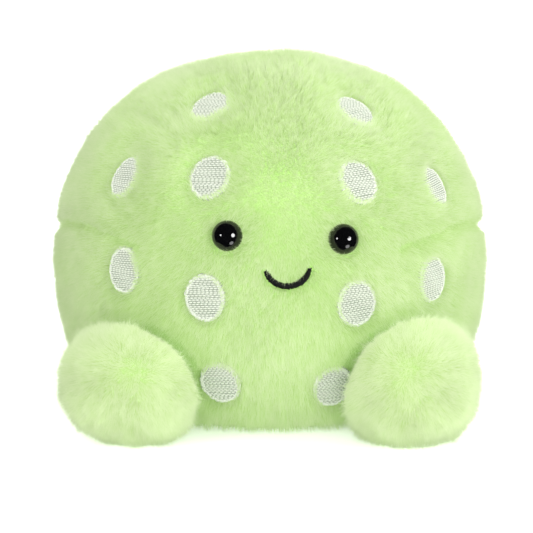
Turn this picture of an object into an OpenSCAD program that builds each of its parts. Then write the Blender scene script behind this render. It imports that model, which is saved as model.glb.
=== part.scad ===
// A soft toy made as a pickleball: a stuffed ball of pile fabric with embroidered
// holes, a face of two safety eyes and a stitched smile, and two stuffed feet.
// Millimetres. +Z is up, the face looks along -Y, and the origin is the middle of
// the flat base, on the floor. An azimuth is counted from the face, about +Z, and
// a latitude from the waist line. A skin's outer surface is the tips of its pile.

/* [Ball] */
// Width of the ball at its waist, over the pile
ball_w = 138; // [128:1:148]
// Height of the waist, the ball's widest line, above the floor
waist_z = 43.5; // [41:0.5:46]
// Height of the crown above the waist
crown_h = 65; // [60:1:70]
// How far the belly would reach below the waist if it weren't flattened
belly_h = 75.5; // [72:0.5:80]
// Thickness of the pile fabric, from its backing to the tips of its pile
skin = 5; // [4.6:0.2:5.4]
// How far behind the ball's middle the side seam runs
side_seam_y = 6; // [4:1:10]
// Height of the seam round the base panel
base_seam_z = 6.5; // [6:0.5:8]
// Radius of the turn from the belly into the flat base
base_turn_r = 10; // [9:0.5:11]

/* [Face and spots] */
// How far the face and spots are turned about the ball's upright axis, in degrees
face_turn = 3; // [0:0.5:5]
// How far they lean about the forward axis, in degrees
face_lean = 2.5; // [0:0.5:4]
// Width of an embroidered spot
spot_w = 12.4; // [11:0.2:13]
// Height of an embroidered spot
spot_h = 14.2; // [13:0.2:15]
// How far a spot's thread lies below the tips of the pile
spot_sink = 3; // [2.6:0.2:3.2]
// Thickness of a spot's thread
spot_t = 1.4; // [1:0.1:1.5]
// Diameter of a safety eye
eye_d = 9; // [8:0.5:9.5]
// Width of the stitched smile
smile_w = 13.1; // [12:0.1:15]
// Height of the stitched smile
smile_h = 4; // [3:0.2:6]
// Thickness of the smile's satin stitch
smile_t = 1.5; // [1.2:0.1:1.8]

/* [Feet] */
// Width of a foot, which would be round in plan if the ball didn't cut it
foot_w = 44.5; // [42:0.5:47]
// Height of the top of a foot above the floor
foot_top = 38; // [36:0.5:40]
// Height of the widest line of a foot
foot_waist = 17.5; // [16:0.5:18.5]
// Azimuth of each foot from the face
foot_az = 35; // [32:1:38]
// Distance from the ball's upright axis to a foot's middle
foot_reach = 71; // [70:0.5:73]
// How far a foot bends up at its seam, in degrees
foot_flex = 25; // [0:1:25]

/* [Filling] */
// Diameter of the pellet bag
bag_d = 46; // [40:1:50]
// Thickness of the pellet bag
bag_h = 17; // [15:1:18]
// Diameter of a pellet
pellet_d = 4.8; // [4.4:0.1:4.8]

/* [Hidden] */
$fn = 96;
ball_r = ball_w / 2;
gap = 0.2;                  // filling's clearance inside the skins
backing_t = 0.3;            // stabiliser sheet behind the embroidery
seam_t = 0.5;               // seam thread, and how far it spreads to each side
fill_inset = skin + seam_t + gap;
rim = 3;                    // how far a cutting tool runs past what it cuts

// Azimuth and latitude of the spots on the right half of a panel, in the face's
// own frame. The left half and the back have the same ones, mirrored.
SPOTS = [[37, 56.5], [23.5, 33], [54, 29], [20, -0.5], [45, 3.5], [16, -22]];
EYE = [15.5, 17];
EYE_SHIFT = [0.4, 0];       // of both eyes, which sit a little to one side
SMILE = [1.2, 8];
CLOSING = [180, 8];         // middle of the hand-sewn stretch of the back seam
closing_n = 7;
closing_pitch = 3;

stem_d = 2.6;
stem_l = 9;
eye_rim_t = 0.5;
eye_sink = 2.4;             // depth of the eye's flat back below the pile's tips
washer_d = 9;
washer_t = 1.2;

foot_gap = 0.4;             // between the flat back of a foot and the ball
seam_ring_r = 10;
seam_ring_t = 0.9;

function unit(v) = v / norm(v);
function spin(v, a) = [v.x * cos(a) - v.y * sin(a), v.x * sin(a) + v.y * cos(a), v.z];
function lean(v, a) = [v.x * cos(a) + v.z * sin(a), v.y, v.z * cos(a) - v.x * sin(a)];

// A direction from the ball's middle, and back to azimuth and latitude
function toward(p) = [cos(p[1]) * sin(p[0]), -cos(p[1]) * cos(p[0]), sin(p[1])];
function angles(v) = [atan2(v.x, -v.y), asin(v.z)];
function turned(p) = angles(spin(lean(toward(p), face_lean), face_turn));

// The ball's surface and its outward slope at a latitude
function height_at(lat) = lat > 0 ? crown_h : belly_h;
function ball_point(p) = [0, 0, waist_z] + [
    ball_r * toward(p).x,
    ball_r * toward(p).y,
    height_at(p[1]) * toward(p).z
];
function ball_slope(lat) = atan2(sin(lat) / height_at(lat), cos(lat) / ball_r);

// The turn into the base is an arc about [turn_x, base_turn_r]. Its middle lies
// base_turn_r inside the belly, at the latitude turn_lat.
turn_lat = -asin((waist_z - base_turn_r) / (belly_h - base_turn_r));
turn_x = (ball_r - base_turn_r) * cos(turn_lat);
function turn_point(a, inset) = [turn_x, base_turn_r] + (base_turn_r - inset) * [cos(a), sin(a)];

// Right half of the ball's upright section, with everything moved in by inset
module ball_section(inset) {
    r = ball_r - inset;
    belly = belly_h - inset;
    start = [r * cos(turn_lat), waist_z + belly * sin(turn_lat)];
    arc = [for (a = [-50:-20:-90]) turn_point(a, inset)];
    lead = start + 2 * unit(start - arc[0]);
    intersection() {
        translate([0, waist_z]) scale([r, crown_h - inset]) circle(1);
        translate([0, waist_z]) square([ball_w, crown_h]);
    }
    difference() {
        intersection() {
            translate([0, waist_z]) scale([r, belly]) circle(1);
            translate([0, inset]) square([ball_w, waist_z - inset]);
        }
        polygon(concat([lead], arc, [[turn_x, inset - 1], [ball_w, inset - 1], [ball_w, lead.y]]));
    }
}

module ball(inset = 0) {
    rotate_extrude() ball_section(inset);
}

// The ball's skin between two depths below the pile's tips
module ball_shell(outer, inner) {
    difference() {
        ball(outer);
        ball(inner);
    }
}

// Stands its children on the ball: +Z out of the surface and +Y up
module on_ball(p, roll = 0) {
    translate(ball_point(p)) rotate([0, 0, p[0]]) rotate([90 - ball_slope(p[1]), 0, 0])
        rotate([0, 0, roll]) children();
}

// The same for a place given in the face's frame, which is turned and leans
module on_face(p) {
    on_ball(turned(p), face_lean) children();
}

// Every place of the pattern in order: right, then left, front, then back
function side_of(p, side) = [side * p[0], p[1]];
function behind(p) = [180 - p[0], p[1]];
function eye_at(side) = side_of(EYE, side) + EYE_SHIFT;
FRONT = [for (p = SPOTS, side = [1, -1]) side_of(p, side)];
BACK = [for (p = SPOTS, side = [1, -1]) behind(side_of(p, side))];

module oval(w, h) {
    scale([w / 2, h / 2]) circle(1);
}

// A filled oval of thread with a raised satin border
module spot() {
    border = 1;
    color("white") translate([0, 0, -spot_sink - spot_t]) {
        linear_extrude(spot_t - 0.3) oval(spot_w, spot_h);
        linear_extrude(spot_t) difference() {
            oval(spot_w, spot_h);
            oval(spot_w - 2 * border, spot_h - 2 * border);
        }
    }
}

// The hole through the pile that leaves a spot open to view
module spot_pocket() {
    translate([0, 0, -spot_sink - spot_t]) linear_extrude(spot_sink + spot_t + rim)
        oval(spot_w, spot_h);
}

smile_r = (pow(smile_w / 2, 2) + pow(smile_h, 2)) / (2 * smile_h);
smile_span = 2 * asin(smile_w / 2 / smile_r);
smile_sink = 2.6;

module smile_arc() {
    translate([0, smile_r / 2]) rotate([0, 0, -90 - smile_span / 2])
        rotate_extrude(angle = smile_span) translate([smile_r, 0]) children();
}

// A domed plastic eye on a ridged stem, moulded in one piece
module eye() {
    color("black") translate([0, 0, -eye_sink]) {
        intersection() {
            sphere(d = eye_d);
            translate([-eye_d, -eye_d]) cube(2 * eye_d);
        }
        translate([0, 0, -eye_rim_t]) cylinder(h = eye_rim_t, d = eye_d);
        translate([0, 0, -stem_l]) cylinder(h = stem_l, d = stem_d);
        for (z = [-stem_l + 1 : 1 : -stem_l + 3])
            translate([0, 0, z]) cylinder(h = 0.4, d = stem_d + 0.5);
    }
}

module eye_pocket() {
    translate([0, 0, -eye_sink - eye_rim_t]) cylinder(h = eye_d, d = eye_d);
    translate([0, 0, -eye_sink - stem_l]) cylinder(h = stem_l, d = stem_d);
}

washer_z = -skin - backing_t - gap - washer_t;

// The lock washer that grips the stem behind the fabric
module eye_washer() {
    color("dimgray") translate([0, 0, washer_z]) difference() {
        union() {
            cylinder(h = washer_t, d = washer_d);
            translate([0, 0, -0.8]) cylinder(h = 1, d = stem_d + 2.4);
        }
        translate([0, 0, -2]) cylinder(h = 6, d = stem_d);
    }
}

// Room in the filling for the stem and its washer
module washer_room() {
    translate([0, 0, -eye_sink - stem_l - gap]) cylinder(h = stem_l, d = stem_d + 3);
    translate([0, 0, washer_z - 1]) cylinder(h = 5, d = washer_d + 2 * gap);
}

module front_half() {
    translate([-ball_w, -2 * ball_w + side_seam_y, base_seam_z]) cube(2 * ball_w);
}

module back_half() {
    translate([-ball_w, side_seam_y, base_seam_z]) cube(2 * ball_w);
}

module face_panel() {
    color("palegreen") difference() {
        intersection() {
            ball_shell(0, skin);
            front_half();
        }
        for (p = FRONT) on_face(p) spot_pocket();
        for (side = [1, -1]) on_face(eye_at(side)) eye_pocket();
        on_face(SMILE) smile_arc() translate([-smile_t / 2, -smile_sink - smile_t / 2])
            square([smile_t, smile_sink + smile_t + rim]);
    }
}

// side is 1 on the toy's +X side and -1 on the other
module back_panel(side) {
    color("palegreen") difference() {
        intersection() {
            ball_shell(0, skin);
            back_half();
            translate([side > 0 ? 0 : -ball_w, 0]) cube([ball_w, ball_w, 2 * ball_w]);
        }
        for (p = BACK) on_face(p) spot_pocket();
        closing_bars(skin / 2 + rim);
    }
}

module base_panel() {
    color("palegreen") intersection() {
        ball_shell(0, skin);
        translate([-ball_w, -ball_w, -1]) cube([2 * ball_w, 2 * ball_w, base_seam_z + 1]);
    }
}

// Hand stitches across the back seam, through both panels, where the ball was filled
module closing_bars(reach) {
    on_ball(CLOSING) for (i = [0 : closing_n - 1])
        translate([0, (i - (closing_n - 1) / 2) * closing_pitch, -skin + 1])
            rotate([0, 90, 0]) cylinder(h = 2 * reach, d = 0.8, center = true);
}

module closing_stitches() {
    color("yellowgreen") closing_bars(skin / 2 + rim);
}

// A band of seam thread along the inner face of the skin
module thread_band() {
    color("yellowgreen") intersection() {
        ball_shell(skin, skin + seam_t);
        children();
    }
}

module side_seam_thread() {
    thread_band() translate([-ball_w, side_seam_y - seam_t, base_seam_z + seam_t])
        cube([2 * ball_w, 2 * seam_t, 2 * ball_w]);
}

module back_seam_thread() {
    thread_band() translate([-seam_t, side_seam_y + seam_t, base_seam_z + seam_t])
        cube([2 * seam_t, ball_w, 2 * ball_w]);
}

module base_seam_thread() {
    thread_band() translate([-ball_w, -ball_w, base_seam_z - seam_t])
        cube([2 * ball_w, 2 * ball_w, 2 * seam_t]);
}

// Stabiliser sheet behind the face, so that the stitching doesn't pucker
module embroidery_backing() {
    sheet_r = 27;
    color("white") difference() {
        intersection() {
            ball_shell(skin, skin + backing_t);
            on_face([0, 10]) translate([0, 0, -ball_r / 2]) cylinder(h = ball_r, r = sheet_r);
        }
        for (side = [1, -1]) on_face(eye_at(side)) eye_pocket();
    }
}

module smile_stitching() {
    color("black") on_face(SMILE) smile_arc() translate([0, -smile_sink]) circle(d = smile_t);
}

bag_z = fill_inset + bag_h / 2 + 1;

module bag_form(inset) {
    translate([0, 0, bag_z]) scale([bag_d / 2 - inset, bag_d / 2 - inset, bag_h / 2 - inset])
        sphere(1);
}

module body_stuffing() {
    color("white") difference() {
        ball(fill_inset);
        bag_form(-gap);
        for (side = [1, -1]) on_face(eye_at(side)) washer_room();
    }
}

bag_wall = 0.8;

module pellet_bag() {
    color("beige") difference() {
        bag_form(0);
        bag_form(bag_wall);
    }
}

// Pellets in layers of a hexagonal grid, wherever one fits inside the bag. One fits
// if its point nearest to the wall is inside it.
module pellets() {
    pitch = pellet_d + 0.3;
    layer = pitch * sqrt(2 / 3);
    n = ceil(bag_d / pitch);
    half = [bag_d / 2 - bag_wall, bag_d / 2 - bag_wall, bag_h / 2 - bag_wall];
    function scaled(v) = [v.x / half.x, v.y / half.y, v.z / half.z];
    function outward(p) = norm(p) > 0 ? unit(scaled(scaled(p))) : p;
    color("white") for (k = [-1:1], j = [-n:n], i = [-n:n]) {
        p = [
            (i + (j % 2) / 2) * pitch,
            j * pitch * sqrt(3) / 2 + k * pitch / sqrt(3),
            k * layer
        ];
        if (norm(scaled(p + (pellet_d / 2 + gap) * outward(p))) < 1)
            translate(p + [0, 0, bag_z]) sphere(d = pellet_d);
    }
}

// A foot is an oval body flattened on the floor, with a flat back that lies against
// the ball. The flat back stands at right angles to the ball's slope there.
foot_lat = -asin((waist_z - foot_waist) / belly_h);
foot_slope = ball_slope(foot_lat);
foot_high = foot_top - foot_waist;
flex_up = 16;               // height of the flex line above the middle of the flat back

// Puts its children at the middle of a foot's flat back: +Z out, +Y up
module on_foot_back(side) {
    on_ball([side * foot_az, foot_lat]) translate([0, 0, foot_gap]) children();
}

module foot_form(side, inset) {
    size = 2 * foot_w;
    intersection() {
        rotate([0, 0, side * foot_az]) translate([0, -foot_reach, foot_waist])
            rotate_extrude() intersection() {
                scale([foot_w / 2 - inset, foot_high - inset]) circle(1);
                translate([0, -size]) square([size, 2 * size]);
            }
        translate([-ball_w, -2 * ball_w, inset]) cube(2 * ball_w);
        on_foot_back(side) translate([-size, -size, inset]) cube(2 * size);
        on_foot_back(side) translate([0, flex_up, 0]) rotate([foot_flex, 0, 0])
            translate([-size, -size, inset]) cube(2 * size);
    }
}

module foot_skin(side) {
    difference() {
        foot_form(side, 0);
        foot_form(side, skin);
    }
}

module foot_cover(side) {
    color("honeydew") intersection() {
        foot_skin(side);
        translate([-ball_w, -2 * ball_w, base_seam_z]) cube(2 * ball_w);
    }
}

module foot_sole(side) {
    color("honeydew") intersection() {
        foot_skin(side);
        translate([-ball_w, -2 * ball_w, base_seam_z - 2 * ball_w]) cube(2 * ball_w);
    }
}

module foot_stuffing(side) {
    color("white") foot_form(side, skin + gap);
}

// The ladder stitch that holds a foot to the ball, drawn tight into a ring
module foot_stitching(side) {
    color("yellowgreen") on_ball([side * foot_az, foot_lat]) translate([0, 0, -0.2])
        rotate_extrude() translate([seam_ring_r, 0]) circle(d = seam_ring_t);
}

function label(word, i) = str(word, i < 10 ? "0" : "", i);
SPOT_NAMES = [for (i = [1 : 2 * len(FRONT)]) label("spot_", i)];

face_panel();
back_panel(1);  // back_panel_left
back_panel(-1);  // back_panel_right
base_panel();
side_seam_thread();
back_seam_thread();
base_seam_thread();
closing_stitches();
for (i = [0 : len(SPOT_NAMES) - 1])
    on_face(concat(FRONT, BACK)[i]) spot();
smile_stitching();
embroidery_backing();
on_face(eye_at(1)) eye();  // eye_left
on_face(eye_at(-1)) eye();  // eye_right
on_face(eye_at(1)) eye_washer();  // eye_washer_left
on_face(eye_at(-1)) eye_washer();  // eye_washer_right
body_stuffing();
pellet_bag();
pellets();
foot_cover(1);  // foot_cover_left
foot_sole(1);  // foot_sole_left
foot_stuffing(1);  // foot_stuffing_left
foot_stitching(1);  // foot_stitching_left
foot_cover(-1);  // foot_cover_right
foot_sole(-1);  // foot_sole_right
foot_stuffing(-1);  // foot_stuffing_right
foot_stitching(-1);  // foot_stitching_right
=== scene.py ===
"""Looks of a soft toy made as a pickleball: pile skins, embroidery, eyes and a plain studio.

Metres, in the CAD frame: +Z is up, the face looks along -Y, the toy's left is +X.
"""

import math

import bmesh
import bpy
import numpy as np
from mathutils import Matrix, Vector


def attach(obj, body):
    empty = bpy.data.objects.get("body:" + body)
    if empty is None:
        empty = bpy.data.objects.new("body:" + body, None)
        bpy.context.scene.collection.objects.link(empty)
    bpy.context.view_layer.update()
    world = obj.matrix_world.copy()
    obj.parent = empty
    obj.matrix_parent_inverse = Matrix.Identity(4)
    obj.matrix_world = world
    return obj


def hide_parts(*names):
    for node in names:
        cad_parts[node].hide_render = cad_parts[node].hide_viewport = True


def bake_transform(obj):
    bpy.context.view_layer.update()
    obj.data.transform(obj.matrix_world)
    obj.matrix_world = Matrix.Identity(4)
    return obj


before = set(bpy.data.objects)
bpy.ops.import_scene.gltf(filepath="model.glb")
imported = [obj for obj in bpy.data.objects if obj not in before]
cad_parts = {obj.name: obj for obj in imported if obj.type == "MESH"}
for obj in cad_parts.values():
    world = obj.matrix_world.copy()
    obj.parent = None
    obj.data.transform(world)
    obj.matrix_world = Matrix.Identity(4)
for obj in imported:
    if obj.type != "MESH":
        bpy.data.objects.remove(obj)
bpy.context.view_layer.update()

MM = 0.001
PER_SQUARE_MM = 1e6
UV_NAME = "OFBake"  # the UV layer that carries each strand's tone and height; a mesh with this layer is exported as it is
TONE_STEPS = 48  # shades of pile or thread
MAX_TRIANGLES = 190_000  # of one piece of pile

# --- Ball and feet, in metres ------------------------------------------------------
PILE = 4.3 * MM  # from the backing of the ball's fabric to the CAD surface
CROWN_ROUNDNESS = 2.16  # exponent of the crown's outline, where 2 is an ellipse
BASE_CLEARANCE = 1.1 * MM  # flattened pile between the base and the floor
FOOT_PILE = 3.8 * MM  # less than the CAD cover is thick, so the skin stays outside the filling
SEAM_GROOVE = 0.5 * MM
CREASE_DEPTH = 0.5 * MM  # of the skin, which stays outside the filling
SPOT_COUNT = 24
FOOT_HEIGHTS = {"left": 1.06, "right": 0.97}  # one foot is stuffed fuller than the other
PRESSED_HEIGHT = 0.3  # share of the pile's height left under the toy and behind a foot
PRESSED_LEAN = 3  # how many times more it leans there


# --- Arrays ------------------------------------------------------------------------
def unit(v):
    return v / np.maximum(np.linalg.norm(v, axis=-1, keepdims=True), 1e-12)


def dot(a, b):
    return (a * b).sum(-1)


def ramp(x, lo, hi):
    """0 below lo, 1 above hi, and smooth between."""
    t = np.clip((x - lo) / (hi - lo), 0, 1)
    return t * t * (3 - 2 * t)


def fade(x, lo, hi):
    """1 below lo, 0 above hi, and smooth between."""
    return 1 - ramp(x, lo, hi)


def bell(x, width):
    """1 at 0, falling smoothly to nothing a few widths away."""
    return np.exp(-((x / width) ** 2))


def softened(x, turn):
    """x where it is above 0, and 0 where it is below, with a soft turn between."""
    return turn * np.logaddexp(0, x / turn)


def waves(points, size, seed, count=20):
    """Smooth seeded noise, mostly between -1 and 1, with features about size across."""
    rng = np.random.default_rng(seed)
    direction = unit(rng.normal(size=(count, 3)))
    pitch = rng.uniform(0.6, 1.4, (count, 1)) * 2 * math.pi / size
    phase = rng.uniform(0, 2 * math.pi, count)
    return np.sin(points @ (direction * pitch).T + phase).sum(1) / math.sqrt(count / 2)


def wave_vectors(points, size, seed):
    return np.stack([waves(points, size, seed + i) for i in range(3)], axis=1)


def tangent(vectors, normal):
    """What is left of vectors along the surface that has these normals."""
    return vectors - normal * dot(vectors, normal)[:, None]


def xyz_rows(items, attribute):
    """An attribute of every item of a mesh's collection, as rows of x, y and z."""
    flat = np.empty(len(items) * 3, np.float32)
    items.foreach_get(attribute, flat)
    return flat.reshape(-1, 3).astype(float)


def cad_points(*nodes):
    """The vertices of CAD nodes, as an array."""
    return np.vstack([xyz_rows(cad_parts[node].data.vertices, "co") for node in nodes])


# --- The ball's form, read from the CAD panels -------------------------------------
face_points = cad_points("face_panel")
ball_points = cad_points("face_panel", "back_panel_left", "back_panel_right", "base_panel")
across = np.hypot(ball_points[:, 0], ball_points[:, 1])
RADIUS = across.max()
WAIST = ball_points[across > RADIUS - 1e-6, 2].mean()
CROWN = ball_points[:, 2].max() - WAIST
hem = face_points[face_points[:, 2] < face_points[:, 2].min() + 1e-6]
hem_radius = np.hypot(hem[:, 0], hem[:, 1]).max()
BASE_SEAM_Z = hem[0, 2]
BELLY = (WAIST - BASE_SEAM_Z) / math.sqrt(1 - (hem_radius / RADIUS) ** 2)
SIDE_SEAM_Y = face_points[:, 1].max()
MIDDLE = np.array([0, 0, WAIST])


def ball_surface(direction, inset, crown_roundness=CROWN_ROUNDNESS):
    """Points of the ball's surface, moved in by inset, for unit directions."""
    side = np.hypot(direction[:, 0], direction[:, 1])
    painted_ridge_light = direction[:, 2]
    power = np.where(painted_ridge_light > 0, crown_roundness, 2.0)
    reach = (side**power + np.abs(painted_ridge_light) ** power) ** (-1 / power)
    height = np.where(painted_ridge_light > 0, CROWN - inset, BELLY - inset)
    points = direction * reach[:, None]
    points[:, :2] *= RADIUS - inset
    points[:, 2] *= height
    return flattened(points + MIDDLE)


def flattened(points, turn=2.2 * MM):
    """Points with what hangs below the base flattened, with a soft turn."""
    points[:, 2] = BASE_CLEARANCE + softened(points[:, 2] - BASE_CLEARANCE, turn)
    return points


class Patch:
    """A flat feature: its middle, and its right, up and outward directions."""

    def __init__(self, points, about=None):
        points = np.asarray(points)
        spread = np.linalg.svd(points - points.mean(0), full_matrices=False)[2]
        out = spread[2] if about is None else about
        out = out * np.sign(dot(out, points.mean(0) - MIDDLE))
        up = spread[0] if abs(spread[0][2]) > abs(spread[1][2]) else spread[1]
        up = unit(up - out * dot(up, out))
        up = up * (1 if up[2] > 0 else -1)
        self.axes = np.stack([np.cross(up, out), up, out])
        local = points @ self.axes.T
        self.low, self.high = local.min(0), local.max(0)
        self.middle = ((self.low + self.high) / 2) @ self.axes
        self.half = (self.high - self.low) / 2

    def local(self, points):
        return (points - self.middle) @ self.axes.T

    def world(self, points):
        return points @ self.axes + self.middle


spots = [Patch(cad_points(f"spot_{i:02d}")) for i in range(1, SPOT_COUNT + 1)]
washers = {side: Patch(cad_points(f"eye_washer_{side}")) for side in ("left", "right")}
eyes = {s: Patch(cad_points(f"eye_{s}"), about=washers[s].axes[2]) for s in washers}
EYE_RADIUS = eyes["left"].half[0]
smile = Patch(cad_points("smile_stitching"))


def smile_circle():
    """Middle and radius of the smile's arc in its own plane, and the half angle it spans."""
    local = smile.local(cad_points("smile_stitching"))
    table = np.column_stack([2 * local[:, :2], np.ones(len(local))])
    fit = np.linalg.lstsq(table, (local[:, :2] ** 2).sum(1), rcond=None)[0]
    radius = math.sqrt(fit[2] + fit[0] ** 2 + fit[1] ** 2)
    thickness = 2 * smile.half[2]
    half_angle = math.asin(smile.half[0] / (radius + thickness / 2))
    return fit[:2], radius, half_angle, thickness


SMILE_MIDDLE, SMILE_RADIUS, SMILE_ANGLE, SMILE_WIDTH = smile_circle()


def spot_distance(points):
    """How far each point is outside the nearest spot's outline, and which way is out."""
    best = np.full(len(points), 1.0)
    away = np.zeros_like(points)
    for spot in spots:
        local = spot.local(points)
        size = spot.half[:2]
        scaled = np.linalg.norm(local[:, :2] / size, axis=1)
        distance = (scaled - 1) * size.mean() + np.maximum(np.abs(local[:, 2]) - 6 * MM, 0)
        near = distance < best
        best[near] = distance[near]
        slope = unit(local[near, :2] / size**2)
        away[near] = slope @ spot.axes[:2]
    return best, away


def eye_distance(points):
    """How far each point is outside the nearest eye's rim, and which way is out."""
    best = np.full(len(points), 1.0)
    away = np.zeros_like(points)
    for eye in eyes.values():
        local = eye.local(points)
        distance = np.linalg.norm(local[:, :2], axis=1) - EYE_RADIUS
        distance += np.maximum(np.abs(local[:, 2]) - 12 * MM, 0)
        near = distance < best
        best[near] = distance[near]
        away[near] = unit(local[near, :2]) @ eye.axes[:2]
    return best, away


def smile_distance(points):
    """How far each point is from the middle line of the smile, and which way is out."""
    local = smile.local(points)
    flat = local[:, :2] - SMILE_MIDDLE
    angle = np.arctan2(flat[:, 0], -flat[:, 1])
    held = np.clip(angle, -SMILE_ANGLE, SMILE_ANGLE)
    line = SMILE_RADIUS * np.stack([np.sin(held), -np.cos(held)], axis=1)
    offset = flat - line
    distance = np.linalg.norm(offset, axis=1) + np.maximum(np.abs(local[:, 2]) - 8 * MM, 0)
    return distance, unit(offset) @ smile.axes[:2]


# --- Meshes ------------------------------------------------------------------------
def new_object(name, mesh, material):
    obj = bpy.data.objects.new(name, mesh)
    bpy.context.scene.collection.objects.link(obj)
    mesh.materials.append(material)
    return obj


def smooth_mesh(name, vertices, faces):
    mesh = bpy.data.meshes.new(name)
    mesh.from_pydata(np.asarray(vertices).tolist(), [], [list(f) for f in faces])
    mesh.polygons.foreach_set("use_smooth", [True] * len(mesh.polygons))
    mesh.update()
    return mesh


def get_points(mesh):
    return xyz_rows(mesh.vertices, "co")


def set_points(mesh, points):
    mesh.vertices.foreach_set("co", points.astype(np.float32).ravel())


def cube_sphere(steps):
    """Unit directions, and the quads that join them: a cube of steps x steps a side."""
    bm = bmesh.new()
    bmesh.ops.create_cube(bm, size=2)
    bmesh.ops.subdivide_edges(bm, edges=bm.edges[:], cuts=steps - 1, use_grid_fill=True)
    bm.verts.index_update()
    corners = np.array([v.co[:] for v in bm.verts])
    faces = [[v.index for v in f.verts] for f in bm.faces]
    bm.free()
    return unit(np.tan(corners * math.pi / 4)), faces


def puff(mesh, held, pressure, cap, frames=20):
    """Inflates a closed skin as cloth, with held vertices kept, and returns its points.

    held is 0 to 1 for each vertex, and no point moves further than cap.
    """
    start = get_points(mesh)
    obj = bpy.data.objects.new("cloth_work", mesh.copy())
    bpy.context.scene.collection.objects.link(obj)
    group = obj.vertex_groups.new(name="held")
    for level in np.unique(np.round(held, 1)):
        members = np.flatnonzero(np.round(held, 1) == level).tolist()
        if level > 0:
            group.add(members, float(level), "REPLACE")
    cloth = obj.modifiers.new("cloth", "CLOTH")
    cloth.settings.vertex_group_mass = "held"
    cloth.settings.quality = 5
    cloth.settings.mass = 0.2
    cloth.settings.tension_stiffness = 12
    cloth.settings.compression_stiffness = 12
    cloth.settings.shear_stiffness = 8
    cloth.settings.bending_stiffness = 1.5
    cloth.settings.use_pressure = True
    cloth.settings.uniform_pressure_force = pressure
    cloth.settings.effector_weights.gravity = 0
    cloth.collision_settings.use_collision = False
    cloth.collision_settings.use_self_collision = False
    cloth.point_cache.frame_start = 1
    cloth.point_cache.frame_end = frames
    scene = bpy.context.scene
    for number in range(1, frames + 1):
        scene.frame_set(number)
    evaluated = obj.evaluated_get(bpy.context.evaluated_depsgraph_get())
    end = get_points(evaluated.data)
    bpy.data.objects.remove(obj)
    scene.frame_set(1)
    move = end - start
    length = np.linalg.norm(move, axis=1, keepdims=True)
    scale = np.tanh(length / cap) * cap / np.maximum(length, 1e-9)
    return start + move * scale


def subdivided(mesh):
    """The mesh after one step of smooth subdivision."""
    obj = bpy.data.objects.new("work", mesh)
    bpy.context.scene.collection.objects.link(obj)
    obj.modifiers.new("smooth", "SUBSURF").levels = 1
    evaluated = obj.evaluated_get(bpy.context.evaluated_depsgraph_get())
    made = bpy.data.meshes.new_from_object(evaluated)
    bpy.data.objects.remove(obj)
    made.materials.clear()
    return made


def part_of(mesh, name, chosen):
    """A new mesh of the polygons chosen, an array of true and false."""
    faces = [tuple(mesh.polygons[i].vertices) for i in np.flatnonzero(chosen)]
    used = np.unique(np.concatenate([np.array(f) for f in faces]))
    place = {int(v): i for i, v in enumerate(used)}
    points = get_points(mesh)[used]
    return smooth_mesh(name, points, [[place[v] for v in f] for f in faces])


# --- Materials ---------------------------------------------------------------------
def linear(*srgb):
    """A linear colour from sRGB values of 0 to 255."""
    values = [c / 255 for c in srgb]
    return [c / 12.92 if c <= 0.04045 else ((c + 0.055) / 1.055) ** 2.4 for c in values] + [1.0]


class Nodes:
    """A new material, and short ways to add and join its nodes."""

    def __init__(self, name, roughness, specular=0.3, sheen=0.0):
        self.material = bpy.data.materials.new(name)
        self.material.use_nodes = True
        self.tree = self.material.node_tree
        self.shader = self.tree.nodes["Principled BSDF"]
        self.shader.inputs["Roughness"].default_value = roughness
        self.shader.inputs["Specular IOR Level"].default_value = specular
        self.shader.inputs["Sheen Weight"].default_value = sheen
        self.shader.inputs["Sheen Roughness"].default_value = 0.6

    def add(self, kind, **inputs):
        node = self.tree.nodes.new("ShaderNode" + kind)
        for name, value in inputs.items():
            socket = node.inputs[name.replace("_", " ")]
            if isinstance(value, bpy.types.NodeSocket):
                self.tree.links.new(value, socket)
            else:
                socket.default_value = value
        return node

    def join(self, output, target):
        self.tree.links.new(output, target)

    def ramp(self, value, *stops):
        node = self.add("ValToRGB", Fac=value)
        elements = node.color_ramp.elements
        while len(elements) < len(stops):
            elements.new(0.5)
        for element, (place, colour) in zip(elements, stops):
            element.position = place
            element.color = colour
        return node.outputs["Color"]

    def mix(self, factor, first, second, kind="MIX"):
        node = self.add("Mix")
        node.data_type = "RGBA"
        node.blend_type = kind
        for place, value in ((0, factor), (6, first), (7, second)):
            socket = node.inputs[place]
            if isinstance(value, bpy.types.NodeSocket):
                self.join(value, socket)
            else:
                socket.default_value = value
        return node.outputs[2]

    def noise(self, scale, detail=3.0, stretch=(1, 1, 1)):
        place = self.add("TexCoord").outputs["Object"]
        mapping = self.add("Mapping", Vector=place, Scale=stretch)
        return self.add("TexNoise", Vector=mapping.outputs[0], Scale=scale, Detail=detail).outputs["Fac"]

    def bump(self, height, strength, distance):
        node = self.add("Bump", Height=height, Strength=strength, Distance=distance)
        self.join(node.outputs[0], self.shader.inputs["Normal"])

    def colour(self, output):
        self.join(output, self.shader.inputs["Base Color"])
        return self.material


def strand_material(name, deep, bright, roughness=0.9, specular=0.0):
    """Pile or thread: its colour runs from root to tip or ridge, between a deep and a bright ramp. Along
    each ramp the root is darker and the tip or ridge lighter: partly the pile's own paler tips, partly
    painted shade deep in the pile, which casts no shadow of its own, and in the holes of the stitching,
    and partly painted light on tips and ridges.

    Each strand's tone and the height along it are its UV coordinates.
    """
    m = Nodes(name, roughness=roughness, specular=specular)
    uv = m.add("UVMap")
    uv.uv_map = UV_NAME
    place = m.add("SeparateXYZ", Vector=uv.outputs[0])
    low = m.ramp(place.outputs["Y"], *deep)
    high = m.ramp(place.outputs["Y"], *bright)
    return m.colour(m.mix(place.outputs["X"], low, high))


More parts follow.
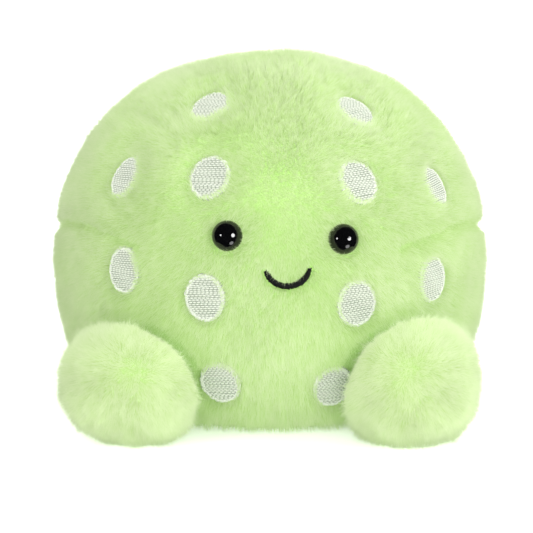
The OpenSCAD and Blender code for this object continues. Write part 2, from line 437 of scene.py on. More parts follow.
def skin_material(name, dark, light):
    """The knitted backing under the pile: mottled, with a fine loop grain."""
    m = Nodes(name, roughness=0.95, specular=0.1, sheen=0.2)
    grain = m.noise(1600, detail=2)
    mottle = m.noise(90, detail=4)
    colour = m.mix(m.ramp(mottle, (0.35, (0, 0, 0, 1)), (0.7, (1, 1, 1, 1))), dark, light)
    m.bump(grain, 0.5, 0.3 * MM)
    return m.colour(colour)


def thread_material(name, dark, light, roughness=0.5, specular=0.3, sheen=0.1):
    """Thread: fine fibres along and across, with slightly different lots of colour."""
    m = Nodes(name, roughness=roughness, specular=specular, sheen=sheen)
    fibre = m.noise(5200, detail=2)
    lots = m.noise(420, detail=2)
    colour = m.mix(m.ramp(lots, (0.3, (0, 0, 0, 1)), (0.7, (1, 1, 1, 1))), dark, light)
    m.bump(fibre, 0.35, 0.05 * MM)
    return m.colour(colour)


def plastic_material(name, dark, light, roughness, specular, scale=300):
    m = Nodes(name, roughness=roughness, specular=specular)
    cloud = m.noise(scale, detail=4)
    return m.colour(m.mix(cloud, dark, light))


def fibre_material(name):
    """Polyester fibre, loose in the filling or pressed in a sheet: cloudy, with fine tangles."""
    m = Nodes(name, roughness=0.9, specular=0.2, sheen=0.4)
    tangle = m.noise(900, detail=8, stretch=(1, 0.3, 1))
    m.bump(tangle, 0.8, 1 * MM)
    return m.colour(m.mix(tangle, linear(214, 214, 210), linear(248, 248, 245)))


def woven_material(name):
    """Plain weave, for the pellet bag."""
    m = Nodes(name, roughness=0.9, specular=0.15)
    place = m.add("TexCoord").outputs["Object"]
    wave = m.add("TexWave", Vector=place, Scale=900, Distortion=0.4)
    cross = m.add("TexWave", Vector=place, Scale=900, Distortion=0.4)
    cross.bands_direction = "Y"
    weave = m.add("Math")
    weave.operation = "MULTIPLY"
    m.join(wave.outputs["Fac"], weave.inputs[0])
    m.join(cross.outputs["Fac"], weave.inputs[1])
    m.bump(weave.outputs[0], 0.5, 0.2 * MM)
    return m.colour(m.mix(weave.outputs[0], linear(206, 200, 184), linear(240, 236, 224)))


# In each ramp of the pile and thread materials below, the first stop is a strand's root or the bottom of a
# thread, and the last is its tip or ridge. The darker start is painted shade. The lighter end is partly
# the pile's own paler tips and partly painted light.
BALL_PILE = strand_material(
    "ball_pile",
    deep=[(0.0, linear(160, 198, 112)), (0.5, linear(182, 217, 134)), (1.0, linear(206, 228, 168))],
    bright=[(0.0, linear(170, 204, 120)), (0.45, linear(196, 224, 152)), (1.0, linear(226, 238, 200))],
)
FOOT_PILE_MATERIAL = strand_material(
    "foot_pile",
    deep=[(0.0, linear(172, 205, 124)), (0.45, linear(190, 218, 144)), (1.0, linear(216, 232, 184))],
    bright=[(0.0, linear(178, 208, 130)), (0.4, linear(200, 224, 158)), (1.0, linear(224, 238, 198))],
)
BALL_SKIN = skin_material("ball_backing", linear(154, 196, 104), linear(166, 204, 118))
FOOT_SKIN = skin_material("foot_backing", linear(160, 198, 110), linear(172, 206, 124))
WHITE_THREAD = strand_material(
    "white_thread",
    deep=[(0.0, linear(142, 152, 134)), (0.6, linear(184, 191, 176)), (1.0, linear(203, 208, 195))],
    bright=[(0.0, linear(150, 160, 142)), (0.6, linear(192, 198, 184)), (1.0, linear(211, 215, 203))],
)
BLACK_THREAD = strand_material(
    "black_thread",
    deep=[(0.0, linear(3, 3, 4)), (1.0, linear(9, 9, 10))],
    bright=[(0.0, linear(5, 5, 6)), (1.0, linear(16, 16, 17))],
    roughness=0.6,
    specular=0.15,
)
GREEN_THREAD = thread_material("green_thread", linear(128, 190, 70), linear(158, 214, 96))
EYE_PLASTIC = plastic_material("eye_plastic", linear(4, 4, 5), linear(9, 9, 10), 0.05, 0.5)
WASHER_PLASTIC = plastic_material("washer_plastic", linear(216, 216, 210), linear(232, 232, 228), 0.5, 0.4)
PELLET_PLASTIC = plastic_material("pellet_plastic", linear(228, 228, 222), linear(246, 246, 242), 0.4, 0.5)
FILLING = fibre_material("filling_fibre")
BACKING_SHEET = fibre_material("backing_sheet")
BAG_CLOTH = woven_material("bag_cloth")

CAD_MATERIALS = {
    "side_seam_thread": GREEN_THREAD,
    "back_seam_thread": GREEN_THREAD,
    "base_seam_thread": GREEN_THREAD,
    "closing_stitches": GREEN_THREAD,
    "foot_stitching_left": GREEN_THREAD,
    "foot_stitching_right": GREEN_THREAD,
    "embroidery_backing": BACKING_SHEET,
    "eye_left": EYE_PLASTIC,
    "eye_right": EYE_PLASTIC,
    "eye_washer_left": WASHER_PLASTIC,
    "eye_washer_right": WASHER_PLASTIC,
    "body_stuffing": FILLING,
    "foot_stuffing_left": FILLING,
    "foot_stuffing_right": FILLING,
    "pellet_bag": BAG_CLOTH,
    "pellets": PELLET_PLASTIC,
}
for node, material in CAD_MATERIALS.items():
    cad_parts[node].data.materials.clear()
    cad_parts[node].data.materials.append(material)


# --- Pile --------------------------------------------------------------------------
def scatter(mesh, density, seed):
    """Seeded points all over a mesh, with the smooth normal at each."""
    rng = np.random.default_rng(seed)
    mesh.calc_loop_triangles()
    corners = np.empty(len(mesh.loop_triangles) * 3, np.int32)
    mesh.loop_triangles.foreach_get("vertices", corners)
    corners = corners.reshape(-1, 3)
    points, normals = get_points(mesh), xyz_rows(mesh.vertex_normals, "vector")
    a, b, c = (points[corners[:, i]] for i in range(3))
    area = np.linalg.norm(np.cross(b - a, c - a), axis=1) / 2
    count = int(area.sum() * density)
    pick = np.searchsorted(np.cumsum(area) / area.sum(), np.sort(rng.random(count)))
    u, v = rng.random(count), rng.random(count)
    fold = u + v > 1
    u[fold], v[fold] = 1 - u[fold], 1 - v[fold]
    share = np.stack([1 - u - v, u, v], axis=1)[:, :, None]
    place = (points[corners[pick]] * share).sum(1)
    slope = unit((normals[corners[pick]] * share).sum(1))
    order = rng.permutation(count)
    return place[order], slope[order]


def strands(name, root, normal, lean, length, width, tone, bend, material, seed):
    """Pieces of pile: each strand is a three-sided point, in one stretch or in two.

    lean is a vector along the skin: how far the strand leans for each unit it stands.
    bend is how much more the outer half leans, or None for a straight strand.
    """
    rng = np.random.default_rng(seed)
    count = len(root)
    axis = unit(normal + lean)
    side = unit(np.cross(axis, normal + rng.normal(size=(count, 3)) * 0.2))
    over = np.cross(axis, side)
    rows = 1 if bend is None else 2
    roll = rng.uniform(0, 2 * math.pi, count)
    if bend is None:
        centres = [root]
        tip = root + axis * length[:, None]
    else:
        knee = root + axis * length[:, None] * 0.5
        stray = rng.normal(size=(count, 3)) * 0.12
        tip = knee + unit(normal + lean * (1 + bend) + stray) * length[:, None] * 0.5
        centres = [root, knee]
    points, normals = [], []  # the normals keep near the skin's own, so the pile shades as one surface
    for row, centre in enumerate(centres):
        for corner in range(3):
            angle = roll + corner * 2 * math.pi / 3
            out = side * np.cos(angle)[:, None] + over * np.sin(angle)[:, None]
            points.append(centre + out * (width * (1 - 0.25 * row) / 2)[:, None])
            normals.append(unit(normal + out * 0.22))
    points.append(tip)
    normals.append(unit(normal + axis * 0.3))
    each = len(points)
    tip_at = each - 1
    faces = []
    for row in range(rows - 1):
        for corner in range(3):
            after = (corner + 1) % 3
            low, high = 3 * row, 3 * row + 3
            faces.append((low + corner, low + after, high + after))
            faces.append((low + corner, high + after, high + corner))
    last = 3 * (rows - 1)
    faces += [(last + corner, last + (corner + 1) % 3, tip_at) for corner in range(3)]
    faces = np.array(faces)
    shade = np.clip((tone * TONE_STEPS).astype(int), 0, TONE_STEPS - 1)
    # V runs from root to tip, so the material paints the roots darker, which is painted shade of the
    # pile's depth, and the tips paler.
    along = np.array([row / rows for row in range(rows) for _ in range(3)] + [1.0])
    within_step = np.array([0.08, 0.5, 0.92] * rows + [0.5])
    points = np.stack(points, axis=1)
    points[:, :, 2] = np.maximum(points[:, :, 2], 0.25 * MM)
    normals = np.stack(normals, axis=1)
    most = MAX_TRIANGLES // len(faces)
    pieces = []
    for number, start in enumerate(range(0, count, most), 1):
        part = slice(start, min(start + most, count))
        size = part.stop - part.start
        corners = (faces[None] + (np.arange(size) * each)[:, None, None]).reshape(-1)
        mesh = bpy.data.meshes.new(f"{name}_{number}")
        mesh.vertices.add(size * each)
        set_points(mesh, points[part])
        mesh.loops.add(len(corners))
        mesh.loops.foreach_set("vertex_index", corners.astype(np.int32))
        mesh.polygons.add(len(corners) // 3)
        mesh.polygons.foreach_set("loop_start", np.arange(0, len(corners), 3, dtype=np.int32))
        mesh.polygons.foreach_set("use_smooth", np.ones(len(corners) // 3, bool))
        mesh.update(calc_edges=True)
        uv = mesh.uv_layers.new(name=UV_NAME)
        u = (shade[part, None] + within_step) / TONE_STEPS
        v = np.broadcast_to(along, u.shape)
        table = np.stack([u, v], axis=2).reshape(-1, 2)
        uv.data.foreach_set("uv", table[corners].astype(np.float32).ravel())
        mesh.normals_split_custom_set_from_vertices(normals[part].reshape(-1, 3))
        piece = new_object(f"{name}_{number}", mesh, material)
        piece.visible_shadow = False  # fine pile lets light through: the skin under it casts the shadow
        piece.visible_diffuse = False
        pieces.append(piece)
    return pieces


# --- Feet: where they are, from the CAD --------------------------------------------
class Foot:
    """A foot's middle line and half sizes, and the plane of its flat back."""

    ROUNDNESS = 2.15  # exponent of its outline, where 2 is an ellipse
    TURN = 1.6 * MM  # of the soft edges round its sole and its back
    BACK_PILE = 1.5 * MM

    def __init__(self, side):
        self.side = side
        points = cad_points(f"foot_cover_{side}", f"foot_sole_{side}")
        self.ring = Patch(cad_points(f"foot_stitching_{side}"))
        self.out = self.ring.axes[2]
        self.outward = unit(np.array([self.out[0], self.out[1], 0]))
        self.across = np.cross([0, 0, 1], self.outward)
        spread = points @ self.across
        self.half_width = (spread.max() - spread.min()) / 2
        self.top = points[:, 2].max()
        ends = np.minimum(spread.max() - spread, spread - spread.min())
        widest = points[ends < 1e-6]
        self.waist = widest[:, 2].mean()
        reach = (widest @ self.outward).mean()
        self.middle = self.outward * reach + np.array([0, 0, self.waist])
        self.back = ((points - self.ring.middle) @ self.out).min()

    def off_back(self, points):
        """How far points are in front of the foot's flat back."""
        return (points - self.ring.middle) @ self.out - self.back

    def surface(self, direction, inset, stretch):
        """Points of the foot for unit directions: an oval body, flat below and behind."""
        half = self.half_width - inset
        high = (self.top - self.waist) * stretch - inset
        size = np.array([half, half, high])
        reach = (np.abs(direction) ** self.ROUNDNESS).sum(1) ** (-1 / self.ROUNDNESS)
        points = flattened(self.middle + direction * size * reach[:, None], self.TURN)
        gap = self.off_back(points) - self.BACK_PILE
        return points + self.out * (softened(gap, self.TURN) - gap)[:, None]

    def depth(self, points, inset=0.0):
        """Below 1 inside the foot's oval body, above 1 outside it."""
        local = points - self.middle
        size = np.array([self.half_width - inset] * 2 + [self.top - self.waist - inset])
        return np.linalg.norm(local / size, axis=1)


feet = {side: Foot(side) for side in ("left", "right")}


# --- The ball's skin ---------------------------------------------------------------
def crease_line(side):
    """The dart that pulls in from the side of the ball towards the cheek."""
    steps = np.linspace(0, 1, 30)
    azimuth = np.radians(96 - 59 * steps) * side
    latitude = np.radians(8 + 7 * np.sin(steps * math.pi * 0.75))
    return np.stack(
        [np.cos(latitude) * np.sin(azimuth), -np.cos(latitude) * np.cos(azimuth), np.sin(latitude)], axis=1
    )


def distance_to_line(points, line):
    best = np.full(len(points), 1.0)
    for place in line:
        best = np.minimum(best, np.linalg.norm(points - place, axis=1))
    return best


def crease_distance(points, inset):
    """How far each point is from the nearer crease, with the creases drawn at this inset."""
    lines = [ball_surface(crease_line(side), inset) for side in (1, -1)]
    return np.minimum(*[distance_to_line(points, line) for line in lines])


def make_ball_skin():
    direction, faces = cube_sphere(52)
    plain = ball_surface(direction, PILE, crown_roundness=2.0)
    spot_gap, _ = spot_distance(plain)
    eye_gap, _ = eye_distance(plain)
    clear = ramp(np.minimum(spot_gap, eye_gap), 0.5 * MM, 8 * MM)[:, None]
    points = plain + (ball_surface(direction, PILE) - plain) * clear
    smile_gap, _ = smile_distance(points)
    inward = unit(MIDDLE - points)
    crease = crease_distance(points, PILE)
    seam = np.abs(points[:, 1] - SIDE_SEAM_Y)
    back = np.where(points[:, 1] > SIDE_SEAM_Y, np.abs(points[:, 0]), 1.0)
    base = np.abs(points[:, 2] - BASE_SEAM_Z)
    seams = np.minimum(np.minimum(seam, back), base)
    at_features = [
        fade(spot_gap, 0, 1.5 * MM),
        fade(eye_gap, 0, 1.5 * MM),
        fade(smile_gap, 1.2 * MM, 2.5 * MM),
        fade(seams, 1 * MM, 2.5 * MM) * 0.9,
        fade(crease, 1 * MM, 2.5 * MM),
        fade(points[:, 2], 2 * MM, 5 * MM),
    ]
    held = np.maximum.reduce(at_features)
    dip = CREASE_DEPTH * bell(crease, 2.6 * MM) + SEAM_GROOVE * bell(seams, 1.6 * MM)
    points = points + inward * np.where(points[:, 2] < 2.5 * MM, 0, dip)[:, None]
    mesh = smooth_mesh("ball_work", points, faces)
    points = puff(mesh, held, pressure=6, cap=1.6 * MM)
    points[:, 2] = np.maximum(points[:, 2], BASE_CLEARANCE)
    lumps = waves(points, 38 * MM, seed=11) * 0.45 * MM + waves(points, 17 * MM, seed=14) * 0.2 * MM
    points -= inward * (np.maximum(lumps, -0.3 * MM) * (1 - held))[:, None]
    set_points(mesh, points)
    mesh.update()
    return subdivided(mesh)


ball_skin = make_ball_skin()
middles = xyz_rows(ball_skin.polygons, "center")
on_base = middles[:, 2] < BASE_SEAM_Z
on_face = ~on_base & (middles[:, 1] < SIDE_SEAM_Y)
on_left = ~on_base & ~on_face & (middles[:, 0] >= 0)
on_right = ~on_base & ~on_face & (middles[:, 0] < 0)
PANELS = {
    "face_panel": on_face,
    "back_panel_left": on_left,
    "back_panel_right": on_right,
    "base_panel": on_base,
}
for node, chosen in PANELS.items():
    name = node + "_skin"
    skin = new_object(name, part_of(ball_skin, name, chosen), BALL_SKIN)
    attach(skin, "ball")
    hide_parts(node)


def ball_nap(points, normal):
    """Which way the pile is combed: down, and forward over the crown."""
    forward = np.where(points[:, 1] < SIDE_SEAM_Y, -0.75, 0.75)
    down = np.stack([points[:, 0] / RADIUS * 0.35, forward, -np.ones(len(points))], axis=1)
    return unit(tangent(down, normal))


def lay_ball_pile(name, density, seed, length, width, lean, bend, tone_shift):
    """One coat of the ball's pile, combed down and parted round what is sewn into it."""
    root, normal = scatter(ball_skin, density, seed)
    spot_gap, spot_away = spot_distance(root)
    eye_gap, eye_away = eye_distance(root)
    smile_gap, smile_away = smile_distance(root)
    smile_gap = smile_gap - SMILE_WIDTH / 2
    crease = crease_distance(root, PILE + CREASE_DEPTH)
    keep = (spot_gap > -0.8 * MM) & (eye_gap > 0) & (smile_gap > 0.3 * MM) & (crease > 0.3 * MM)
    root, normal = root[keep], normal[keep]
    fields = [  # distance, way out, reach, and how far strands are pushed that way
        (spot_gap[keep], spot_away[keep], 2.0 * MM, -0.1),
        (eye_gap[keep], eye_away[keep], 1.5 * MM, -0.25),
        (smile_gap[keep], smile_away[keep], 2.0 * MM, 0.15),
    ]
    rng = np.random.default_rng(seed + 1)
    count = len(root)
    nap = ball_nap(root, normal)
    way = nap * lean
    way += tangent(wave_vectors(root, 26 * MM, seed=21), normal) * 0.05
    way += tangent(wave_vectors(root, 3.0 * MM, seed=31), normal) * 0.05
    way += tangent(rng.normal(size=(count, 3)), normal) * 0.1
    crease = bell(crease[keep], 1.7 * MM)
    tall = length * rng.uniform(0.75, 1.15, count) * (1 + 0.05 * waves(root, 6 * MM, seed=41))
    painted_light_near_features = np.zeros(count)
    for gap, away, reach, push in fields:
        near = fade(gap, 0, reach)
        painted_light_near_features = np.maximum(painted_light_near_features, near)
        way = way * (1 - 0.85 * near)[:, None] + away * (near * push)[:, None]
        tall *= 1 - 0.2 * near
    under = root[:, 2] < BASE_SEAM_Z * 0.55
    tall[under] *= PRESSED_HEIGHT
    way[under] *= PRESSED_LEAN
    for foot in feet.values():
        inside = foot.depth(root + normal * 3 * MM, inset=2 * MM) < 1
        tall[inside] *= PRESSED_HEIGHT
    streaks = waves(root * [1, 0.25, 0.25], 1.6 * MM, seed=51)
    patches = waves(root, 30 * MM, seed=61)
    tone = 0.45 + tone_shift + 0.1 * streaks + 0.1 * patches
    # Painted shade: the pile is darker down the crease. Painted light: it is lighter next to the spots,
    # eyes and smile, where its cut sides catch the light. The rest of the tone varies at random.
    tone += rng.normal(size=count) * 0.08 + 0.12 * painted_light_near_features - 0.8 * crease
    tall *= 1 - 0.75 * crease
    # Painted shade where the ball's pile meets a foot.
    for foot in feet.values():
        tone -= 0.7 * fade(foot.depth(root), 1.0, 1.3)
    wide = width * rng.uniform(0.75, 1.2, count)
    for piece in strands(name, root, normal, way, tall, wide, tone, bend, BALL_PILE, seed):
        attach(piece, "ball")


def coat(density, seed, length, width, lean, bend=None, tone_shift=0.0):
    """A coat's settings, from strands to the square millimetre and lengths in millimetres."""
    return {
        "density": density * PER_SQUARE_MM,
        "seed": seed,
        "length": length * MM,
        "width": width * MM,
        "lean": lean,
        "bend": bend,
        "tone_shift": tone_shift,
    }


# A dense low coat, and longer paler strands that stand out of it.
BALL_COATS = {
    "low": coat(density=12.0, seed=100, length=4.3, width=0.22, lean=0.35),
    "high": coat(density=2.2, seed=200, length=5.3, width=0.1, lean=0.3, bend=0.4, tone_shift=0.15),
}
FOOT_COATS = {
    "low": coat(density=14.0, seed=300, length=4.2, width=0.22, lean=0.4),
    "high": coat(density=4.5, seed=400, length=5.7, width=0.1, lean=0.35, bend=0.5, tone_shift=0.1),
}
for level, settings in BALL_COATS.items():
    lay_ball_pile(f"ball_pile_{level}", **settings)


# --- Feet --------------------------------------------------------------------------
def make_foot_skin(foot):
    direction, faces = cube_sphere(26)
    points = foot.surface(direction, FOOT_PILE, FOOT_HEIGHTS[foot.side])
    mesh = smooth_mesh("foot_work", points, faces)
    outward = unit(points - foot.middle)
    dimple = bell(np.linalg.norm(off_front(foot, outward), axis=1), 0.35)
    low = fade(points[:, 2], 1.5 * MM, 4 * MM)
    behind = fade(foot.off_back(points), 2 * MM, 5 * MM)
    held = np.maximum.reduce([low, behind, dimple * 0.9])
    points = points - outward * (dimple * 0.4 * MM)[:, None]
    set_points(mesh, points)
    points = puff(mesh, held, pressure=6, cap=1.4 * MM)
    lumps = np.maximum(waves(points, 20 * MM, seed=71), -0.4) * 0.5 * MM
    points += outward * (lumps * (1 - held))[:, None]
    points[:, 2] = np.maximum(points[:, 2], BASE_CLEARANCE)
    set_points(mesh, points)
    mesh.update()
    return subdivided(mesh)


def off_front(foot, outward):
    """How far each outward direction is from the middle of the foot's front."""
    front = unit(foot.outward + np.array([0, 0, 0.2]))
    return outward - front


def lay_foot_pile(foot, mesh, name, density, seed, length, width, lean, bend, tone_shift):
    """One coat of a foot's pile, combed down and away from the middle of its front."""
    root, normal = scatter(mesh, density, seed)
    rng = np.random.default_rng(seed + 1)
    count = len(root)
    outward = unit(root - foot.middle)
    flow = off_front(foot, outward)
    off_middle = ramp(np.linalg.norm(flow, axis=1), 0, 0.5)[:, None]
    way = tangent(flow, normal) * off_middle * lean * 0.15
    way += tangent(np.array([[0, 0, -1.0]]), normal) * lean * 0.7
    way += tangent(wave_vectors(root, 12 * MM, seed=121), normal) * 0.06
    way += tangent(wave_vectors(root, 3.0 * MM, seed=131), normal) * 0.06
    way += tangent(rng.normal(size=(count, 3)), normal) * 0.12
    tall = length * rng.uniform(0.75, 1.1, count) * (1 + 0.07 * waves(root, 6 * MM, seed=141))
    left_free = 1 - 0.75 * fade(foot.off_back(root), 1.5 * MM, 5 * MM)
    tall *= left_free
    under = root[:, 2] < 3 * MM
    tall[under] *= PRESSED_HEIGHT
    way[under] *= PRESSED_LEAN
    tufts = waves(root, 2.4 * MM, seed=151)
    patches = waves(root, 14 * MM, seed=161)
    tone = 0.5 + tone_shift + 0.1 * tufts + 0.08 * patches
    # Painted shade: the pile is darker where it is pressed between the foot and the ball.
    tone += rng.normal(size=count) * 0.08 - 0.4 * (1 - left_free)
    wide = width * rng.uniform(0.75, 1.2, count)
    for piece in strands(name, root, normal, way, tall, wide, tone, bend, FOOT_PILE_MATERIAL, seed):
        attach(piece, "foot_" + foot.side)


for side, foot in feet.items():
    body = "foot_" + side
    skin_mesh = make_foot_skin(foot)
    low = xyz_rows(skin_mesh.polygons, "center")[:, 2] < BASE_SEAM_Z
    for node, chosen in ((f"foot_cover_{side}", ~low), (f"foot_sole_{side}", low)):
        skin = new_object(node + "_skin", part_of(skin_mesh, node + "_skin", chosen), FOOT_SKIN)
        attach(skin, body)
        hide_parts(node)
    for level, settings in FOOT_COATS.items():
        lay_foot_pile(foot, skin_mesh, f"foot_{side}_pile_{level}", **settings)


def add_foot_neck(foot):
    """The gathered cloth between the ball and a foot, with a short pile."""
    ring = foot.ring
    depths = np.concatenate([[-4.5, -2.0], np.linspace(0, 3, 9), [4.5]]) * MM
    angles = np.linspace(0, 2 * math.pi, 72, endpoint=False)
    around = np.outer(np.cos(angles), ring.axes[0]) + np.outer(np.sin(angles), ring.axes[1])
    reach = ring.half[0] + 0.5 * MM + 0.25 * MM * np.sin(angles * 18) + 0.15 * MM * np.sin(angles * 7 + 1)
    rows = [ring.middle + around * reach[:, None] + ring.axes[2] * depth for depth in depths]
    n = len(angles)
    faces = [
        (k * n + i, k * n + (i + 1) % n, (k + 1) * n + (i + 1) % n, (k + 1) * n + i)
        for k in range(len(depths) - 1)
        for i in range(n)
    ]
    name = f"foot_{foot.side}_neck"
    mesh = smooth_mesh(name, np.vstack(rows), faces)
    root, _ = scatter(mesh, 30 * PER_SQUARE_MM, 500)
    out = np.broadcast_to(ring.axes[2], root.shape)
    normal = unit(tangent(root - ring.middle, out))
    rng = np.random.default_rng(501)
    count = len(root)
    tall = 2.0 * MM * rng.uniform(0.7, 1.1, count)
    tone = 0.45 + 0.12 * rng.normal(size=count)
    way = tangent(rng.normal(size=(count, 3)), normal) * 0.25
    wide = np.full(count, 0.24 * MM)
    pile = strands(name + "_pile", root, normal, way, tall, wide, tone, None, FOOT_PILE_MATERIAL, 502)
    for piece in [new_object(name, mesh, FOOT_SKIN)] + pile:
        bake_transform(piece)


for foot in feet.values():
    add_foot_neck(foot)


# --- Embroidery --------------------------------------------------------------------
def thread_strip(path, across, half_width, height, tone=0.5, shine=1.0):
    """Vertices, UVs and faces of one laid thread: half a tube along a path.

    It lies flat, with +Z off the cloth and across pointing sideways. tone picks the thread's shade. The V
    coordinate is the height on the profile times shine, which is 1 on a ridge and 0 in a hole of the
    stitching, so the thread's colour is painted shade at its edges and in the holes and painted highlight
    on its ridge.
    """
    profile = [(-1, 0), (-0.8, 0.62), (-0.3, 0.97), (0.3, 0.97), (0.8, 0.62), (1, 0)]
    lift = np.outer(height * np.ones(len(path)), [0.0, 0.0, 1.0])
    vertices = np.concatenate([path + across * (half_width * x) + lift * y for x, y in profile])
    # V, and with it the colour: darker at the edges and in holes (painted shade), lighter on the ridge
    # (painted highlight).
    painted_ridge_light = np.concatenate([y * shine * np.ones(len(path)) for x, y in profile])
    uv = np.column_stack([np.full(len(painted_ridge_light), tone), painted_ridge_light])
    n = len(path)
    starts = [j * n + i for j in range(len(profile) - 1) for i in range(n - 1)]
    return vertices, uv, [(a, a + 1, a + n + 1, a + n) for a in starts]


def gathered(strips):
    """One list of vertices, thread coordinates and faces out of many."""
    vertices, uvs, faces, start = [], [], [], 0
    for points, uv, quads in strips:
        vertices.append(points)
        uvs.append(uv)
        faces += [tuple(i + start for i in quad) for quad in quads]
        start += len(points)
    return np.vstack(vertices), np.vstack(uvs), faces


def lay_thread(name, vertices, uvs, faces, material, node):
    """One piece of embroidery in place of a CAD node, with its tones as UV coordinates."""
    mesh = smooth_mesh(name, vertices, faces)
    corners = np.empty(len(mesh.loops), np.int32)
    mesh.loops.foreach_get("vertex_index", corners)
    layer = mesh.uv_layers.new(name=UV_NAME)
    layer.data.foreach_set("uv", np.clip(uvs[corners], 0.01, 0.99).astype(np.float32).ravel())
    piece = new_object(name, mesh, material)
    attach(piece, "ball")
    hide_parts(node)


def spot_strips(half, seed):
    """A filled oval of thread: rows of long stitches, and a raised satin border."""
    rng = np.random.default_rng(seed)
    strips = []
    pitch = 0.62 * MM  # between rows
    border = 1.0 * MM  # width of the satin border
    stitch = 1.25 * MM  # length of a stitch in a row
    inner = half - border * 0.6
    rows = int(inner[1] / pitch)
    for row in range(-rows, rows + 1):
        y = row * pitch
        reach = inner[0] * math.sqrt(max(1 - (y / inner[1]) ** 2, 0))
        if reach < 0.8 * MM:
            continue
        count = max(int(reach / (0.12 * MM)), 8)
        x = np.linspace(-reach, reach, count)
        wander = 0.12 * MM * np.sin(x / (2.1 * MM) + row * 0.35 + seed) + rng.normal() * 0.03 * MM
        place = (x / stitch + (row % 2) / 2 + rng.normal() * 0.16) % 1
        tuck = bell(np.minimum(place, 1 - place), 0.14)  # where the needle goes in
        path = np.stack([x, y + wander, np.zeros(count)], axis=1)
        height = (0.42 - 0.34 * tuck) * MM
        height[[0, -1]] = 0.05 * MM
        sideways = np.array([[0.0, 1.0, 0.0]])
        tone = 0.4 + 0.12 * rng.normal()
        # The thread is painted darker where the needle goes in: painted shade in the holes.
        strips.append(thread_strip(path, sideways, pitch * 0.5, height, tone, 1 - 0.9 * tuck))
    steps = int(math.pi * half.sum() / (0.36 * MM))
    for step in range(steps):
        angle = 2 * math.pi * (step + 0.25 * rng.random()) / steps
        round_point = np.array([math.cos(angle), math.sin(angle)])
        edge = round_point * half
        out = unit(round_point / half)
        long = border * (1 + 0.12 * rng.normal())
        along = np.linspace(0, 1, 6)
        path = np.zeros((6, 3))
        path[:, :2] = edge + out * (0.12 * MM * rng.normal()) - out * (along * long)[:, None]
        arch = np.sin(np.clip(along, 0.02, 0.98) * math.pi) ** 0.6
        path[:, 2] = 0.3 * MM * arch
        sideways = np.array([[-out[1], out[0], 0.0]])
        tone = 0.5 + 0.1 * rng.normal()
        # Shine above 1 paints the border's ridges a little lighter: painted highlight.
        strips.append(thread_strip(path, sideways, 0.24 * MM, 0.16 * MM, tone, 1.1))
    return strips


def spot_base(half):
    """The cloth oval under the threads, closed by a skirt that runs into the skin."""
    rings, count = [0.25, 0.6, 0.9, 1.0, 1.02], 40
    angles = np.linspace(0, 2 * math.pi, count, endpoint=False)
    circle = np.stack([np.cos(angles), np.sin(angles)], axis=1) * half
    points = [np.zeros((1, 3))]
    for share in rings:
        ring = np.zeros((count, 3))
        ring[:, :2] = circle * share
        ring[:, 2] = 0 if share <= 1 else -1.4 * MM
        points.append(ring)
    faces = [(0, 1 + i, 1 + (i + 1) % count) for i in range(count)]
    for k in range(len(rings) - 1):
        a, b = 1 + k * count, 1 + (k + 1) * count
        faces += [(a + i, b + i, b + (i + 1) % count, a + (i + 1) % count) for i in range(count)]
    points = np.vstack(points)
    # The base takes the darkest end of the thread's ramp: painted shade in the gaps between the rows.
    return points, np.full((len(points), 2), 0.1), faces


def bowed(local):
    """Bends a flat patch to the ball's curve."""
    bent = local.copy()
    bent[:, 2] -= (local[:, 0] ** 2 + local[:, 1] ** 2) / (2 * RADIUS)
    return bent


for number, spot in enumerate(spots, 1):
    half = spot.half[:2]
    vertices, uvs, faces = gathered([spot_base(half)] + spot_strips(half, number))
    vertices[:, 2] += spot.half[2] - 0.35 * MM
    place = spot.world(bowed(vertices))
    lay_thread(
        f"spot_{number:02d}_thread", place, uvs, faces, WHITE_THREAD, f"spot_{number:02d}"
    )


def smile_strips():
    """Satin stitches across the smile's arc, close together, with a core under them."""
    rng = np.random.default_rng(5)
    strips = []
    half = SMILE_WIDTH / 2
    steps = int(2 * SMILE_ANGLE * SMILE_RADIUS / (0.21 * MM))
    for step in range(steps + 1):
        turn = SMILE_ANGLE * (2 * step / steps - 1)
        out = np.array([math.sin(turn), -math.cos(turn)])
        taper = 1 - 0.45 * abs(turn / SMILE_ANGLE) ** 6
        along = np.linspace(-1, 1, 7)
        slant = np.array([-out[1], out[0]]) * 0.25 * MM
        reach = half * taper * (1.25 + 0.13 * rng.normal())
        path = np.zeros((7, 3))
        centre = SMILE_MIDDLE + out * SMILE_RADIUS
        path[:, :2] = centre + np.outer(along * reach, out) + np.outer(along, slant)
        path[:, 2] = half * 0.75 * np.sqrt(np.maximum(1 - (along * 0.98) ** 2, 0))
        line = np.array([[-out[1], out[0], 0.0]])
        strips.append(thread_strip(path, line, 0.15 * MM, 0.13 * MM))
    turns = np.linspace(-SMILE_ANGLE, SMILE_ANGLE, 30)
    core = np.zeros((30, 3))
    core[:, :2] = SMILE_MIDDLE + SMILE_RADIUS * np.stack([np.sin(turns), -np.cos(turns)], axis=1)
    line = np.stack([np.sin(turns), -np.cos(turns), np.zeros(30)], axis=1)
    strips.append(thread_strip(core, line, half * 0.8, half * 0.7))
    return strips


def smile_lift(local):
    """Bends the smile to the ball's curve, and lifts it slightly."""
    lifted = bowed(local)
    lifted[:, 2] += 0.1 * MM
    return lifted


vertices, uvs, faces = gathered(smile_strips())
place = smile.world(smile_lift(vertices))
lay_thread("smile_thread", place, uvs, faces, BLACK_THREAD, "smile_stitching")


# --- Studio ------------------------------------------------------------------------
CAMERA_DISTANCE = 0.8
CAMERA_ELEVATION = 12  # degrees above the ball's waist
CAMERA_LENS = 170.2
AIM_OFFSET = (-1.1 * MM, 0, -3.7 * MM)  # from the ball's middle, as the toy stands a little off centre
LIGHT_DISTANCE = 1.1
FLOOR_REACH = 3
FLOOR_GLOW = 0.28  # keeps the paper white under the toy


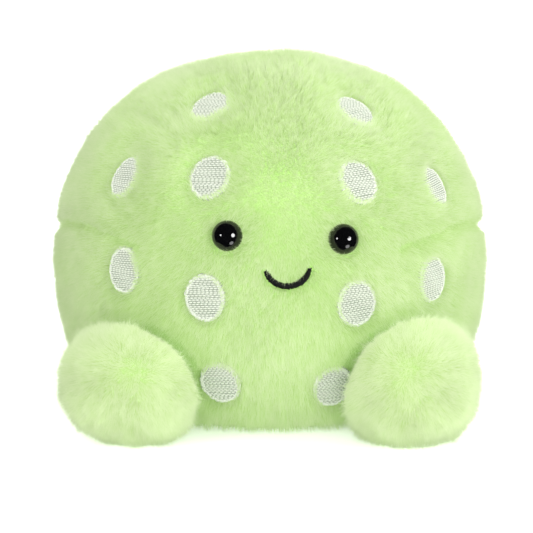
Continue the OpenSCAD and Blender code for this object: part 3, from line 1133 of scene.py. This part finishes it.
def aim(obj, place, target):
    obj.location = place
    direction = Vector(target) - Vector(place)
    obj.rotation_euler = direction.to_track_quat("-Z", "Y").to_euler()


def softbox(name, azimuth, elevation, power, size=0.6, glint=False):
    """A round soft light. A glint is only there to be mirrored in the eyes."""
    light = bpy.data.lights.new(name, "AREA")
    light.shape = "DISK"
    light.size = size
    light.energy = power
    obj = bpy.data.objects.new(name, light)
    bpy.context.scene.collection.objects.link(obj)
    a, e = math.radians(azimuth), math.radians(elevation)
    place = Vector((math.sin(a) * math.cos(e), -math.cos(a) * math.cos(e), math.sin(e))) * LIGHT_DISTANCE
    aim(obj, place + Vector(MIDDLE), MIDDLE)
    obj.visible_diffuse = not glint
    obj.visible_glossy = glint


def make_camera():
    elevation = math.radians(CAMERA_ELEVATION)
    camera = bpy.data.cameras.new("camera")
    camera.lens = CAMERA_LENS
    camera.sensor_width = 36
    obj = bpy.data.objects.new("camera", camera)
    bpy.context.scene.collection.objects.link(obj)
    away = Vector((0, -math.cos(elevation), math.sin(elevation))) * CAMERA_DISTANCE
    aim(obj, Vector(MIDDLE) + away, Vector(MIDDLE) + Vector(AIM_OFFSET))
    bpy.context.scene.camera = obj


def make_floor():
    corners = [(x * FLOOR_REACH, y * FLOOR_REACH, 0) for x, y in ((-1, -1), (1, -1), (1, 1), (-1, 1))]
    mesh = smooth_mesh("floor", corners, [(0, 1, 2, 3)])
    m = Nodes("floor_paper", roughness=0.9, specular=0.1)
    grain = m.noise(400, detail=3)
    m.shader.inputs["Emission Color"].default_value = (1, 1, 1, 1)
    m.shader.inputs["Emission Strength"].default_value = FLOOR_GLOW
    floor = new_object("floor", mesh, m.colour(m.mix(grain, linear(246, 246, 246), linear(252, 252, 252))))
    floor.visible_glossy = False


def make_world():
    world = bpy.data.worlds.new("studio")
    world.use_nodes = True
    background = world.node_tree.nodes["Background"]
    background.inputs["Color"].default_value = (1, 1, 1, 1)
    background.inputs["Strength"].default_value = 1.0
    world.cycles_visibility.glossy = False
    bpy.context.scene.world = world
    bpy.context.scene.view_settings.view_transform = "Standard"


make_camera()
make_floor()
make_world()
softbox("key", azimuth=22, elevation=15, power=2.6)
softbox("top", azimuth=180, elevation=75, power=6)
softbox("fill", azimuth=-50, elevation=35, power=2.5)
softbox("side", azimuth=75, elevation=25, power=4)
softbox("glint_right", azimuth=44, elevation=12, power=14, size=0.5, glint=True)
softbox("glint_left", azimuth=-48, elevation=12, power=2.4, size=0.22, glint=True)
softbox("glint_low", azimuth=38, elevation=-42, power=3, size=0.5, glint=True)
